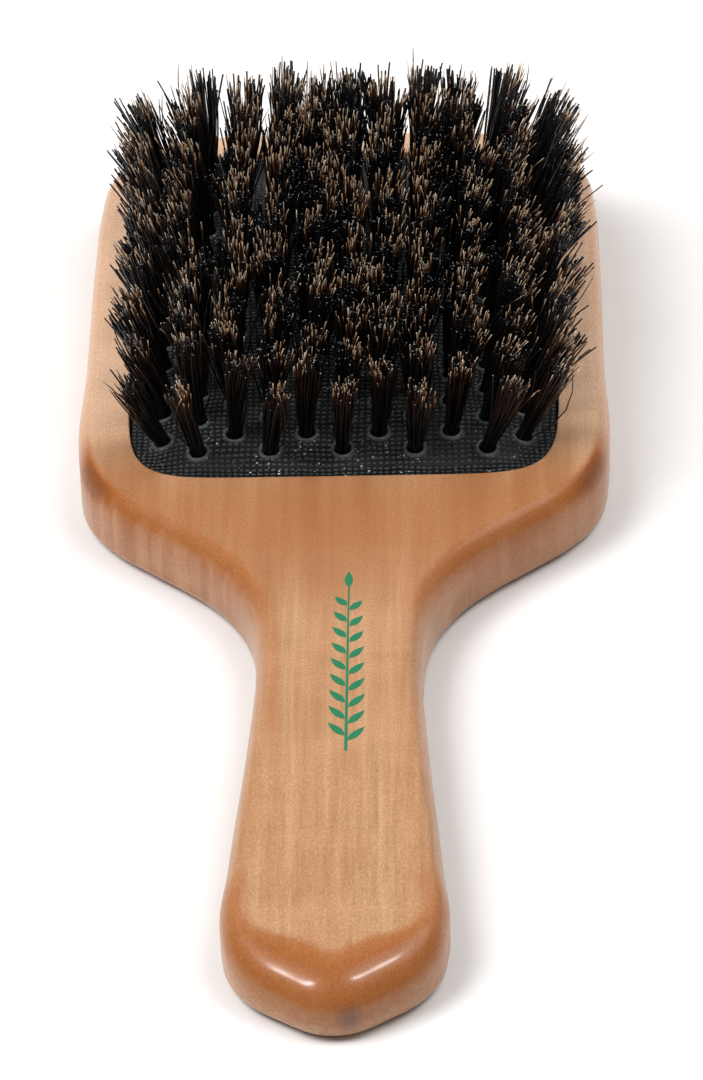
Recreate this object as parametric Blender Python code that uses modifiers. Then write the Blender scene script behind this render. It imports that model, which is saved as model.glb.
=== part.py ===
"""Paddle hairbrush with an air-cushioned rubber pad and natural bristle tufts.

The brush lies on its flat back, bristles up (+Z), handle towards -Y.
It is built from three kinds of piece: one wooden body (head and handle in a single
board, with a routed recess and an undercut groove), one domed rubber cushion whose
flange is trapped in that groove, and straight rows of bristle tufts.  Every row is
sewn on its own anchor wire, which runs just under the cushion.
Driving dimensions are in millimetres and are converted to metres when used.
"""
import math

import bmesh
import bpy
from mathutils import Matrix, Vector

MM = 0.001

# Wooden body
WOOD_THICKNESS = 12.5
EDGE_ROLL = 3.5
EDGE_ROLL_STEPS = 3
OUTLINE_STEPS = 3
# Right half of the outline, (half width, Y), from the handle tip to the far end.
HALF_OUTLINE = (
    (0.0, -115.5),
    (8.8, -111.6),
    (14.9, -105.6),
    (17.1, -98.3),
    (16.3, -85.0),
    (13.9, -54.4),
    (13.1, -34.0),
    (14.2, -23.0),
    (16.6, -16.0),
    (20.5, -9.6),
    (25.2, -4.6),
    (31.2, 0.7),
    (37.4, 6.6),
    (41.6, 13.2),
    (43.2, 22.0),
    (42.9, 46.0),
    (42.7, 78.0),
    (42.2, 93.0),
    (40.9, 102.0),
    (36.8, 109.6),
    (28.6, 113.7),
    (15.0, 115.3),
    (0.0, 115.5),
)

# Recess in the head: a rounded rectangle, nearly straight sided
RECESS_HALF_WIDTH = 35.2
RECESS_HALF_LENGTH = 47.9
RECESS_CENTRE_Y = 59.5
RECESS_FLOOR_Z = 3.5
CORNER_POWER = 8.0
RECESS_SEGMENTS = 64
GROOVE_DEPTH = 1.8
GROOVE_BOTTOM_Z = 8.3
GROOVE_TOP_Z = 10.5

# Rubber cushion
CLEARANCE = 0.3
DOME_HEIGHT = 5.5
DOME_POWER = 4.0
RUBBER_THICKNESS = 1.6
CUSHION_EDGE_Z = GROOVE_TOP_Z - CLEARANCE
CUSHION_HALF_WIDTH = RECESS_HALF_WIDTH - 0.5
CUSHION_HALF_LENGTH = RECESS_HALF_LENGTH - 0.5
FLANGE_REACH = GROOVE_DEPTH - CLEARANCE
CUSHION_CELLS = 16

# Bristle tufts
ROW_COUNT = 25
ROW_PITCH = 3.4
TUFT_PITCH = 11.75
LONG_ROW_TUFTS = 6
SHORT_ROW_TUFTS = 5
TUFT_SIDES = 6
TUFT_ROOT_RADIUS = 1.15
TUFT_TIP_RADIUS = 2.7
TUFT_LENGTH = 17.0
TUFT_BURIED = 3.3
HOLE_RADIUS = 1.9

# Anchor wire of each row
WIRE_RADIUS = 0.4
WIRE_DEPTH = 2.5
WIRE_OVERHANG = 2.0


def clear_scene():
    for obj in list(bpy.data.objects):
        bpy.data.objects.remove(obj, do_unlink=True)


def make_collection(name):
    collection = bpy.data.collections.new(name)
    bpy.context.scene.collection.children.link(collection)
    return collection


def make_material(name, colour, roughness, metallic=0.0):
    material = bpy.data.materials.new(name)
    material.use_nodes = True
    shader = material.node_tree.nodes["Principled BSDF"]
    shader.inputs["Base Color"].default_value = (*colour, 1.0)
    shader.inputs["Roughness"].default_value = roughness
    shader.inputs["Metallic"].default_value = metallic
    return material


def as_part(obj, collection, material, smooth_angle=math.radians(40.0)):
    collection.objects.link(obj)
    obj.data.materials.append(material)
    obj.data.shade_smooth()
    obj.data.set_sharp_from_angle(angle=smooth_angle)


def set_origin(obj, place):
    """Move the object's origin to a point of its own, leaving its shape where it is."""
    obj.data.transform(Matrix.Translation(-place * MM))
    obj.location = place * MM


def as_cutter(obj, collection):
    collection.objects.link(obj)
    obj.hide_render = True
    obj.display_type = "WIRE"


def curve_to_mesh_object(name, curve, location=(0.0, 0.0, 0.0)):
    """Turn curve data into a welded mesh object and drop the curve."""
    source = bpy.data.objects.new(name + "_curve", curve)
    source.location = location
    bpy.context.scene.collection.objects.link(source)
    bpy.context.view_layer.update()
    evaluated = source.evaluated_get(bpy.context.evaluated_depsgraph_get())
    mesh = bpy.data.meshes.new_from_object(evaluated)
    mesh.transform(source.matrix_world)
    mesh.name = name
    bpy.data.objects.remove(source, do_unlink=True)
    shape = bmesh.new()
    shape.from_mesh(mesh)
    bmesh.ops.remove_doubles(shape, verts=shape.verts, dist=0.001 * MM)
    bmesh.ops.recalc_face_normals(shape, faces=shape.faces)
    shape.to_mesh(mesh)
    shape.free()
    return bpy.data.objects.new(name, mesh)


def add_boolean(obj, cutter, operation):
    modifier = obj.modifiers.new(operation.title(), "BOOLEAN")
    modifier.operation = operation
    modifier.solver = "EXACT"
    modifier.object = cutter


# ---------------------------------------------------------------- wooden body
def outline_curve():
    """Closed smooth outline of the board, mirrored about the long axis."""
    curve = bpy.data.curves.new("wooden_body_outline", "CURVE")
    curve.dimensions = "2D"
    curve.fill_mode = "BOTH"
    curve.resolution_u = OUTLINE_STEPS
    curve.render_resolution_u = 0
    left_half = [(-x, y) for x, y in reversed(HALF_OUTLINE[1:-1])]
    points = list(HALF_OUTLINE) + left_half
    spline = curve.splines.new("BEZIER")
    spline.bezier_points.add(len(points) - 1)
    for knot, (x, y) in zip(spline.bezier_points, points):
        knot.co = (x * MM, y * MM, 0.0)
        knot.handle_left_type = "AUTO"
        knot.handle_right_type = "AUTO"
    spline.use_cyclic_u = True
    return curve


def build_board():
    curve = outline_curve()
    curve.extrude = (WOOD_THICKNESS / 2 - EDGE_ROLL) * MM
    curve.bevel_depth = EDGE_ROLL * MM
    curve.bevel_resolution = EDGE_ROLL_STEPS
    curve.offset = -EDGE_ROLL * MM
    return curve_to_mesh_object("wooden_body", curve, (0.0, 0.0, WOOD_THICKNESS / 2 * MM))


def corner_scale(x, y):
    """Length of the direction (x, y) in the norm that draws the rounded rectangle."""
    return (abs(x) ** CORNER_POWER + abs(y) ** CORNER_POWER) ** (1.0 / CORNER_POWER)


def rounded_coordinate(value):
    """Coordinate of the rounded rectangle of half size 1 from a unit circle's coordinate."""
    return math.copysign(abs(value) ** (2.0 / CORNER_POWER), value)


def rounded_slab(name, half_width, half_length, bottom_z, top_z):
    """Straight-walled block with the rounded outline of the recess."""
    shape = bmesh.new()
    bmesh.ops.create_cone(shape, cap_ends=True, segments=RECESS_SEGMENTS,
                          radius1=1.0, radius2=1.0, depth=(top_z - bottom_z) * MM)
    for vertex in shape.verts:
        vertex.co.x = rounded_coordinate(vertex.co.x) * half_width * MM
        vertex.co.y = (rounded_coordinate(vertex.co.y) * half_length + RECESS_CENTRE_Y) * MM
        vertex.co.z += (bottom_z + top_z) / 2 * MM
    mesh = bpy.data.meshes.new(name)
    shape.to_mesh(mesh)
    shape.free()
    return bpy.data.objects.new(name, mesh)


def build_wooden_body(parts, cutters, wood):
    body = build_board()
    as_part(body, parts, wood, math.radians(30.0))
    recess = rounded_slab("recess_cutter", RECESS_HALF_WIDTH, RECESS_HALF_LENGTH,
                          RECESS_FLOOR_Z, WOOD_THICKNESS + 2.0)
    groove = rounded_slab("groove_cutter", RECESS_HALF_WIDTH + GROOVE_DEPTH,
                          RECESS_HALF_LENGTH + GROOVE_DEPTH, GROOVE_BOTTOM_Z, GROOVE_TOP_Z)
    for cutter in (recess, groove):
        as_cutter(cutter, cutters)
        add_boolean(body, cutter, "DIFFERENCE")


# -------------------------------------------------------------- rubber cushion
def dome_height(x, y):
    """Height of the cushion's outer face above its rim; y is from the pad centre."""
    level = corner_scale(x / CUSHION_HALF_WIDTH, y / CUSHION_HALF_LENGTH)
    return DOME_HEIGHT * (1.0 - min(level, 1.0) ** DOME_POWER)


def dome_point(x, y):
    return Vector((x, y + RECESS_CENTRE_Y, CUSHION_EDGE_Z + dome_height(x, y)))


def dome_normal(x, y):
    step = 0.05
    slope_x = (dome_height(x + step, y) - dome_height(x - step, y)) / (2.0 * step)
    slope_y = (dome_height(x, y + step) - dome_height(x, y - step)) / (2.0 * step)
    return Vector((-slope_x, -slope_y, 1.0)).normalized()


def build_dome_sheet():
    """Outer face of the cushion: a square grid pulled onto the domed rounded rectangle."""
    shape = bmesh.new()
    bmesh.ops.create_grid(shape, x_segments=CUSHION_CELLS, y_segments=CUSHION_CELLS, size=1.0)
    for vertex in shape.verts:
        x, y = vertex.co.x, vertex.co.y
        reach = max(abs(x), abs(y))
        pull = reach / corner_scale(x, y) if reach > 0.0 else 0.0
        point = dome_point(x * pull * CUSHION_HALF_WIDTH, y * pull * CUSHION_HALF_LENGTH)
        vertex.co = point * MM
    rim = [edge for edge in shape.edges if edge.is_boundary]
    flange = bmesh.ops.extrude_edge_only(shape, edges=rim)["geom"]
    reach = RECESS_HALF_WIDTH + FLANGE_REACH - CUSHION_HALF_WIDTH
    for vertex in [item for item in flange if isinstance(item, bmesh.types.BMVert)]:
        x, y = vertex.co.x, vertex.co.y - RECESS_CENTRE_Y * MM
        vertex.co.x += x / (CUSHION_HALF_WIDTH * MM) * reach * MM
        vertex.co.y += y / (CUSHION_HALF_LENGTH * MM) * reach * MM
    bmesh.ops.recalc_face_normals(shape, faces=shape.faces)
    mesh = bpy.data.meshes.new("rubber_cushion")
    shape.to_mesh(mesh)
    shape.free()
    return mesh


def build_tuft_holes():
    """One block holding a six-sided hole cutter for every tuft."""
    shape = bmesh.new()
    for row in range(ROW_COUNT):
        for x, y in tuft_positions(row):
            add_tuft_cone(shape, x, y, HOLE_RADIUS, HOLE_RADIUS, 3.0, 4.0)
    mesh = bpy.data.meshes.new("tuft_hole_cutter")
    shape.to_mesh(mesh)
    shape.free()
    return bpy.data.objects.new("tuft_hole_cutter", mesh)


def build_rubber_cushion(parts, cutters, rubber):
    cushion = bpy.data.objects.new("rubber_cushion", build_dome_sheet())
    set_origin(cushion, Vector((0.0, RECESS_CENTRE_Y, CUSHION_EDGE_Z)))
    as_part(cushion, parts, rubber)
    wall = cushion.modifiers.new("Wall", "SOLIDIFY")
    wall.thickness = RUBBER_THICKNESS * MM
    wall.offset = -1.0
    holes = build_tuft_holes()
    as_cutter(holes, cutters)
    add_boolean(cushion, holes, "DIFFERENCE")


# --------------------------------------------------------------- bristle tufts
def tuft_positions(row):
    """Tuft centres of one row, (x, y) from the pad centre; rows are staggered."""
    count = SHORT_ROW_TUFTS if row % 2 == 0 else LONG_ROW_TUFTS
    y = (row - (ROW_COUNT - 1) / 2) * ROW_PITCH
    return [((index - (count - 1) / 2) * TUFT_PITCH, y) for index in range(count)]


def add_tuft_cone(shape, x, y, bottom_radius, top_radius, below, above):
    """Add a cone that stands square to the cushion, reaching below and above its face."""
    normal = dome_normal(x, y)
    centre = dome_point(x, y) + normal * (above - below) / 2
    matrix = Vector((0.0, 0.0, 1.0)).rotation_difference(normal).to_matrix().to_4x4()
    matrix.translation = centre * MM
    bmesh.ops.create_cone(shape, cap_ends=True, segments=TUFT_SIDES,
                          radius1=bottom_radius * MM, radius2=top_radius * MM,
                          depth=(above + below) * MM, matrix=matrix)


def build_anchor_wire(name, row):
    """Wire under the cushion that passes through the foot of every tuft in the row."""
    tufts = tuft_positions(row)
    y = tufts[0][1]
    stations = [x for x, _ in tufts]
    stations.insert(0, stations[0] - WIRE_OVERHANG)
    stations.append(stations[-1] + WIRE_OVERHANG)
    curve = bpy.data.curves.new(name, "CURVE")
    curve.dimensions = "3D"
    curve.bevel_depth = WIRE_RADIUS * MM
    curve.bevel_resolution = 1
    curve.use_fill_caps = True
    spline = curve.splines.new("POLY")
    spline.points.add(len(stations) - 1)
    for point, x in zip(spline.points, stations):
        place = (dome_point(x, y) - dome_normal(x, y) * WIRE_DEPTH) * MM
        point.co = (*place, 1.0)
    return curve_to_mesh_object(name, curve)


def build_tuft_row(row, parts, cutters, bristle):
    name = f"tuft_row_{row + 1:02d}"
    shape = bmesh.new()
    for x, y in tuft_positions(row):
        add_tuft_cone(shape, x, y, TUFT_ROOT_RADIUS, TUFT_TIP_RADIUS, TUFT_BURIED, TUFT_LENGTH)
    mesh = bpy.data.meshes.new(name)
    shape.to_mesh(mesh)
    shape.free()
    tufts = bpy.data.objects.new(name, mesh)
    set_origin(tufts, dome_point(0.0, tuft_positions(row)[0][1]))
    as_part(tufts, parts, bristle, math.radians(65.0))
    wire = build_anchor_wire(f"anchor_wire_{row + 1:02d}", row)
    as_cutter(wire, cutters)
    add_boolean(tufts, wire, "UNION")


def main():
    clear_scene()
    parts = make_collection("paddle_brush")
    cutters = make_collection("cutters")
    wood = make_material("lacquered_wood", (0.56, 0.32, 0.17), 0.32)
    rubber = make_material("black_rubber", (0.018, 0.020, 0.021), 0.55)
    bristle = make_material("dark_bristle", (0.030, 0.021, 0.014), 0.45)
    build_wooden_body(parts, cutters, wood)
    build_rubber_cushion(parts, cutters, rubber)
    for row in range(ROW_COUNT):
        build_tuft_row(row, parts, cutters, bristle)


main()
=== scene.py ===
"""Looks of the paddle hairbrush: lacquered wood, imprinted rubber pad and mixed bristle tufts.

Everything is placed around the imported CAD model.  Lengths are in millimetres, unless a
comment says otherwise, and are turned into metres when a mesh is written.  The brush lies
on its back, bristles up, with its handle towards -Y.
"""
import math

import bmesh
import bpy
import numpy as np
from mathutils import Matrix, Vector

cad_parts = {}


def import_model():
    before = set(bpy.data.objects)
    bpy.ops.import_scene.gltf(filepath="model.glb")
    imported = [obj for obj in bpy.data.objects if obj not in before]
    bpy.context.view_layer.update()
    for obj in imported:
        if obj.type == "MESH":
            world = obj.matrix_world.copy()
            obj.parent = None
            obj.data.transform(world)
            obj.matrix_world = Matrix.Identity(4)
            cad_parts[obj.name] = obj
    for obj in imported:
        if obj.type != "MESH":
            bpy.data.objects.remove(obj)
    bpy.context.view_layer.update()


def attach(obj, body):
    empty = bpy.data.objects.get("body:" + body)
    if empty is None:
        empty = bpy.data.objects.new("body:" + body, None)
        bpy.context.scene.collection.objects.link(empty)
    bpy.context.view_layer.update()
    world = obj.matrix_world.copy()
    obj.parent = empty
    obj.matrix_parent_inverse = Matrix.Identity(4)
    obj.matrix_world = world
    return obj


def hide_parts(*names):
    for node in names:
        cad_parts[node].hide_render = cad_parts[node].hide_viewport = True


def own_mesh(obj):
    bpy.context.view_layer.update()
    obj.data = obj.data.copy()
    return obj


MM = 0.001
FULL_TURN = 2.0 * math.pi

# Wooden body, the same outline as the CAD part
WOOD_THICKNESS = 12.5
HALF_OUTLINE = (
    (0.0, -115.5), (8.8, -111.6), (14.9, -105.6), (17.1, -98.3), (16.3, -85.0),
    (13.9, -54.4), (13.1, -34.0), (14.2, -23.0), (16.6, -16.0), (20.5, -9.6),
    (25.2, -4.6), (31.2, 0.7), (37.4, 6.6), (41.6, 13.2), (43.2, 22.0),
    (42.9, 46.0), (42.7, 78.0), (42.2, 93.0), (40.9, 102.0), (36.8, 109.6),
    (28.6, 113.7), (15.0, 115.3), (0.0, 115.5),
)
OUTLINE_RESOLUTION = 24
OUTLINE_SPACING = 0.7
# Edge roll along the brush: (Y, inset of the top roll, its depth, crease angle in degrees,
# radius of the bottom roll)
EDGE_KNOTS = (
    (-116.0, 2.8, 4.4, 0.0, 2.4),
    (-96.0, 2.8, 4.4, 0.0, 2.4),
    (-30.0, 3.2, 4.2, 0.0, 2.4),
    (-14.0, 3.2, 4.6, 10.0, 2.4),
    (0.0, 2.9, 4.5, 16.0, 2.4),
    (12.0, 2.7, 4.0, 14.0, 2.4),
    (32.0, 2.4, 3.1, 12.0, 2.4),
    (116.0, 2.4, 3.0, 12.0, 2.4),
)
# The handle's end is rounded over much further than its sides
END_INSET = 7.8
END_DEPTH = 6.6
END_FROM_Y = -88.0
END_TO_Y = -102.0
# Outline points count as the handle's end as their inward normal turns from along X to +Y
END_FACING_FROM = 0.1
END_FACING_TO = 0.9
# Outline points on either side over which the edge sizes and the stain are averaged
SIZE_BLUR = 6
CREASE_BLUR = 8
STAIN_BLUR = 5
# The handle's top face falls away towards its end
FALL_FROM_Y = -58.0
FALL_TO_Y = -112.0
FALL_DEPTH = 2.9
FALL_SHARE_LIMIT = 1.2
ROLL_STEPS = 12
SIDE_STEPS = 3
FLAT_MARGIN = 0.25
SHARP_FROM = math.radians(50.0)

# Darker stain across the top roll, from the side (0) to the crease (1)
STAIN_SHARES = (0.0, 0.3, 0.8, 1.0)
STAIN_AMOUNTS = (0.55, 1.0, 0.95, 0.15)
# Where the roll meets the top without a crease, the stain fades out on the top face
SOFT_STAIN_AMOUNTS = (0.55, 0.9, 1.0, 0.8)
SOFT_BELOW_CREASE = math.radians(8.0)
SOFT_FADE = 2.0
# Stain left on the lowest part of the side, where it also darkens the side as painted shade
STAIN_AND_SHADE_AT_FOOT = 0.1
# Stain along the sides, partly painted shade there, on the shoulders and on the handle's end
SIDE_STAIN_AND_SHADE = 0.2
SHOULDER_STAIN = 0.75
END_STAIN = 1.0
FACING_FULL = 0.4
# Stain on the sides of the last stretch of the handle
END_SIDE_STAIN = 0.8
END_SIDE_FROM_Y = -80.0
END_SIDE_TO_Y = -97.0
# Stain at the two corners of the head beside the neck, deepened with painted shade
CORNER_STAIN_AND_SHADE = 1.45
CORNER_FROM_X = 33.0
CORNER_TO_X = 41.0
CORNER_FROM_Y = 26.0
CORNER_TO_Y = 14.0

# Tone of the wood along the brush: paler over the head, browner about the neck
HEAD_PALE_FROM_Y = 8.0
HEAD_PALE_TO_Y = 36.0
NECK_Y = -1.0
NECK_BROWN_WITHIN = 6.0
NECK_BAND_WITHIN = 14.0
NECK_REACH = 26.0
# Pale upright figure on the sides of the head, stronger on the left, where it is also a painted sheen
SHEEN_FLAME_FROM_Z = 11.6
SHEEN_FLAME_FULL_Z = 9.0
SHEEN_FLAME_FROM_Y = -30.0
SHEEN_FLAME_FULL_Y = -10.0
SHEEN_FLAME_LEFT_X = -18.0
SHEEN_FLAME_RIGHT_X = -10.0
SHEEN_FLAME_LEFT = 0.26
SHEEN_FLAME_RIGHT = 0.12
# Lacquer weight low on the sides and on the top
LACQUER_LOW_Z = 4.5
LACQUER_HIGH_Z = 8.0
LACQUER_LOW = 0.6
LACQUER_HIGH = 0.25
# Small dark mark low on the handle's end
END_MARK = (2.4, -115.1, 4.2)
END_MARK_REACH = 2.6

# Leaf sprig printed along the handle
SPRIG_X = 1.4
SPRIG_FROM_Y = -61.0
SPRIG_TO_Y = -19.0
SPRIG_PAIRS = 9
SPRIG_FIRST_PAIR = 0.6
SPRIG_STEM_WIDTH = 0.5
LEAF_LENGTH = 4.3
LEAF_SHORTENING = 0.3
LEAF_STAGGER = 1.2
LEAF_WIDTH = 1.35
LEAF_BELLY_POWER = 0.8
LEAF_ANGLE = math.radians(38.0)
LEAF_POINTS = 7
TOP_LEAF_GAP = 0.05
PRINT_TOP = 0.03
PRINT_BURIED = 0.3

# Recess for the pad
RECESS_HALF_WIDTH = 35.2
RECESS_HALF_LENGTH = 47.9
RECESS_CENTRE_Y = 59.5
RECESS_FLOOR_Z = 3.5
CORNER_POWER = 8.0
RECESS_LIP = 0.3
RECESS_LIP_POINTS = 4
GROOVE_DEPTH = 1.8
GROOVE_BOTTOM_Z = 8.3
GROOVE_TOP_Z = 10.5
RECESS_RING_CELLS = (48, 66)

# Rubber pad
CUSHION_EDGE_Z = 10.2
CUSHION_HALF_WIDTH = 35.05
CUSHION_HALF_LENGTH = 47.75
EDGE_LIFT = 1.1
EDGE_LIFT_FROM = 0.93
DOME_HEIGHT = 5.5
DOME_POWER = 4.0
SLOPE_STEP = 0.05
RUBBER_THICKNESS = 1.6
FLANGE_REACH = 1.5
CUSHION_CELLS = (252, 348)
# Moulded rim and hole around each tuft
RIM_RADIUS = 1.6
RIM_WIDTH = 0.27
RIM_HEIGHT = 0.34
RIM_REACH = 3.2
HOLE_RADIUS = 1.3
HOLE_DEPTH = 1.3
HOLE_SOFT_INSIDE = 0.25
HOLE_SOFT_OUTSIDE = 0.1
# Spacing of the cloth imprint
WEAVE_ACROSS = 1.02
WEAVE_ALONG = 1.03
# Dust on the rubber is thicker at the pad's edge beside the handle
DUST_FROM_Y = 13.0
DUST_TO_Y = 24.0

# Tufts, in the rows of the CAD part
ROW_COUNT = 25
ROW_PITCH = 3.4
TUFT_PITCH = 11.75
LONG_ROW_TUFTS = 6
SHORT_ROW_TUFTS = 5
FIRST_ROW_SEED = 100
BRISTLES_PER_TUFT = 64
TUFT_ROOT_RADIUS = 1.15
TUFT_TIP_RADIUS = 2.0
TUFT_TIP_GROWTH = 0.25
# The tufts beyond the first rows are fuller
FULL_TIP_GROWTH = 0.95
FULL_FROM_Y = -42.0
FULL_TO_Y = -28.0
TUFT_LENGTH = 17.2
TUFT_LENGTH_GROWTH = 1.0
TUFT_BURIED = 1.6
# How the tufts lean beyond standing square to the pad, as slopes
LEAN_SPREAD = 0.06
LEAN_TO_RIGHT = 0.085
LEAN_OUTWARD = 0.115
LEAN_OUTWARD_AT = 23.0
LEAN_OUTWARD_REACH = 7.5
LEAN_TO_HANDLE = 0.05
# Beyond the middle the tufts just left of the centre line lean away from it
PART_LEAN = 0.10
PART_X = -1.0
PART_REACH = 4.5
PART_FROM_Y = -5.0
PART_TO_Y = 20.0
# Bristles: spreads are standard deviations
BLACK_RADIUS = 0.175
TAN_RADIUS = 0.145
RADIUS_RANGE = (0.8, 1.2)
TIP_THINNING = 0.25
TAN_TIP_THINNING = 0.25
TAN_SIDE_SPREAD = 0.55
TAN_SIDE_LIMIT = 0.25
TIP_SPREAD = 0.6
STRAY_SHARE = 0.05
STRAY_REACH = 1.7
LENGTH_SPREAD = 0.95
TAN_EXTRA_LENGTH = 0.2
TAN_LENGTH_SPREAD = 0.7
OUTER_SHORTENING = 1.2
FLARE_POWER = 1.25
BEND_SPREAD = 0.45
STRONG_BEND_SHARE = 0.08
STRONG_BEND = 2.5
# How much the painted glint on the cut ends is dimmed on the brown bristles
TAN_CUT_DIMMING = 0.6
BRISTLE_STATIONS = (-1.0, 0.0, 0.25, 0.5, 0.72, 0.86, 0.94, 1.0)
BRISTLE_SIDES = 4

# Colours, in sRGB from 0 to 255
STREAK_DARK = (166, 124, 88)
STREAK_PALE = (199, 162, 124)
BAND_BROWN = (173, 118, 78)
FIGURE_PALE = (202, 158, 124)
HEAD_PALE = (234, 200, 172)
NECK_BROWN = (168, 113, 70)
NECK_BAND = (152, 99, 60)
STAIN_ORANGE = (156, 88, 28)
# Deepest stain, at the corners beside the neck also painted shade
STAIN_DEEP_AND_SHADE = (104, 62, 40)
SHEEN_FLAME_PALE = (222, 178, 146)
PORE_TINT = (222, 205, 188)
MARK_GREY = (92, 72, 68)
PRINT_GREEN = (30, 112, 76)
# Painted shade in the grooves of the imprint and a painted highlight on its raised dashes
RUBBER_GROOVE_SHADE = (8, 9, 9)
RUBBER_DASH_HIGHLIGHT = (76, 80, 79)
# Painted highlight on the moulded rims
RUBBER_RIM_HIGHLIGHT = (100, 103, 103)
# Painted shade in the tuft holes
RUBBER_HOLE_SHADE = (6, 6, 6)
DUST_PALE = (226, 222, 212)
# The darkest and the palest of each part of the bristles
BRISTLE_BLACK = ((6, 6, 8), (18, 16, 16))
BRISTLE_ROOT = ((9, 7, 7), (26, 18, 15))
BRISTLE_MIDDLE = ((56, 33, 22), (120, 78, 50))
# The palest tips hold a painted highlight over the bleached tan
BRISTLE_TIP_AND_HIGHLIGHT = ((208, 158, 112), (255, 240, 212))
# Painted glint on the cut ends
BRISTLE_CUT_GLINT = ((20, 21, 22), (150, 152, 156))
FLOOR_WHITE = (231, 229, 228)

# Camera; its clip start is in metres
CAMERA_ELEVATION = math.radians(36.0)
CAMERA_YAW = math.radians(-1.777)
CAMERA_ROLL = math.radians(1.952)
CAMERA_DISTANCE = 1143.8
CAMERA_AIM = (1.492, 10.916)
CAMERA_LENS = 234.6
CAMERA_CLIP_START = 0.01
SENSOR = 36.0

# Lights, in metres and watts: name, place, point aimed at, width, height, power, whether it
# acts on soft shading, whether it acts on highlights
LIGHTS = (
    ("key_left", (-0.70, 0.02, 1.08), (0.0, 0.0, 0.0), 0.90, 0.90, 8.2, True, False),
    ("key_right", (0.64, 0.06, 1.12), (0.0, 0.0, 0.0), 0.80, 0.80, 5.2, True, True),
    ("fill_left", (-0.70, -0.20, 1.08), (0.0, 0.0, 0.0), 0.65, 0.65, 9.2, True, False),
    ("fill_right", (0.60, -0.06, 1.14), (0.0, 0.0, 0.0), 0.80, 0.80, 4.4, True, False),
    ("glint_left", (-0.69, -0.38, 1.08), (0.0, -0.11, 0.0), 0.06, 0.28, 9.5, False, True),
    ("glint_right", (0.51, -0.18, 1.18), (0.0, -0.11, 0.0), 0.05, 0.15, 4.4, False, True),
)
# Surroundings: dim on the camera's side and brighter behind the brush
WORLD_COLOUR = (1.0, 0.995, 0.99, 1.0)
WORLD_RAMP = {"From Min": 0.1, "From Max": 0.8, "To Min": 0.235, "To Max": 0.47}
FLOOR_HALF_SIZE = 2500
FLOOR_Z = -0.2


# ------------------------------------------------------------------ small helpers
def srgb(colour):
    """Linear colour with full alpha of an sRGB colour given in 0 to 255."""
    def linear(value):
        value /= 255.0
        return value / 12.92 if value <= 0.04045 else ((value + 0.055) / 1.055) ** 2.4
    return tuple(linear(value) for value in colour) + (1.0,)


def smoothstep(low, high, value):
    share = np.clip((value - low) / (high - low), 0.0, 1.0)
    return share * share * (3.0 - 2.0 * share)


def link(obj):
    bpy.context.scene.collection.objects.link(obj)
    return obj


def mesh_object(name, vertices, faces, material):
    """Mesh object from vertices in millimetres."""
    mesh = bpy.data.meshes.new(name)
    mesh.from_pydata((np.asarray(vertices) * MM).tolist(), [], faces)
    mesh.materials.append(material)
    mesh.shade_smooth()
    return link(bpy.data.objects.new(name, mesh))


def set_attribute(mesh, name, values):
    attribute = mesh.attributes.new(name, "FLOAT", "POINT")
    attribute.data.foreach_set("value", np.asarray(values, dtype=np.float32))


def ring_faces(first, second, count):
    """Quads between two closed rings that start at the given vertex numbers."""
    faces = []
    for index in range(count):
        after = (index + 1) % count
        faces.append((first + index, first + after, second + after, second + index))
    return faces


def stack_rings(rings, vertices, faces):
    """Append closed rings and the quads between them; returns the first vertex of each ring."""
    starts = []
    for ring in rings:
        starts.append(len(vertices))
        vertices += ring.tolist()
    for first, second in zip(starts, starts[1:]):
        faces += ring_faces(first, second, len(rings[0]))
    return starts


# --------------------------------------------------------------------- materials
# Places of the colour sockets of a Mix node, which shares its socket names between types
MIX_COLOUR_A = 6
MIX_COLOUR_B = 7
MIX_COLOUR_RESULT = 2


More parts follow.
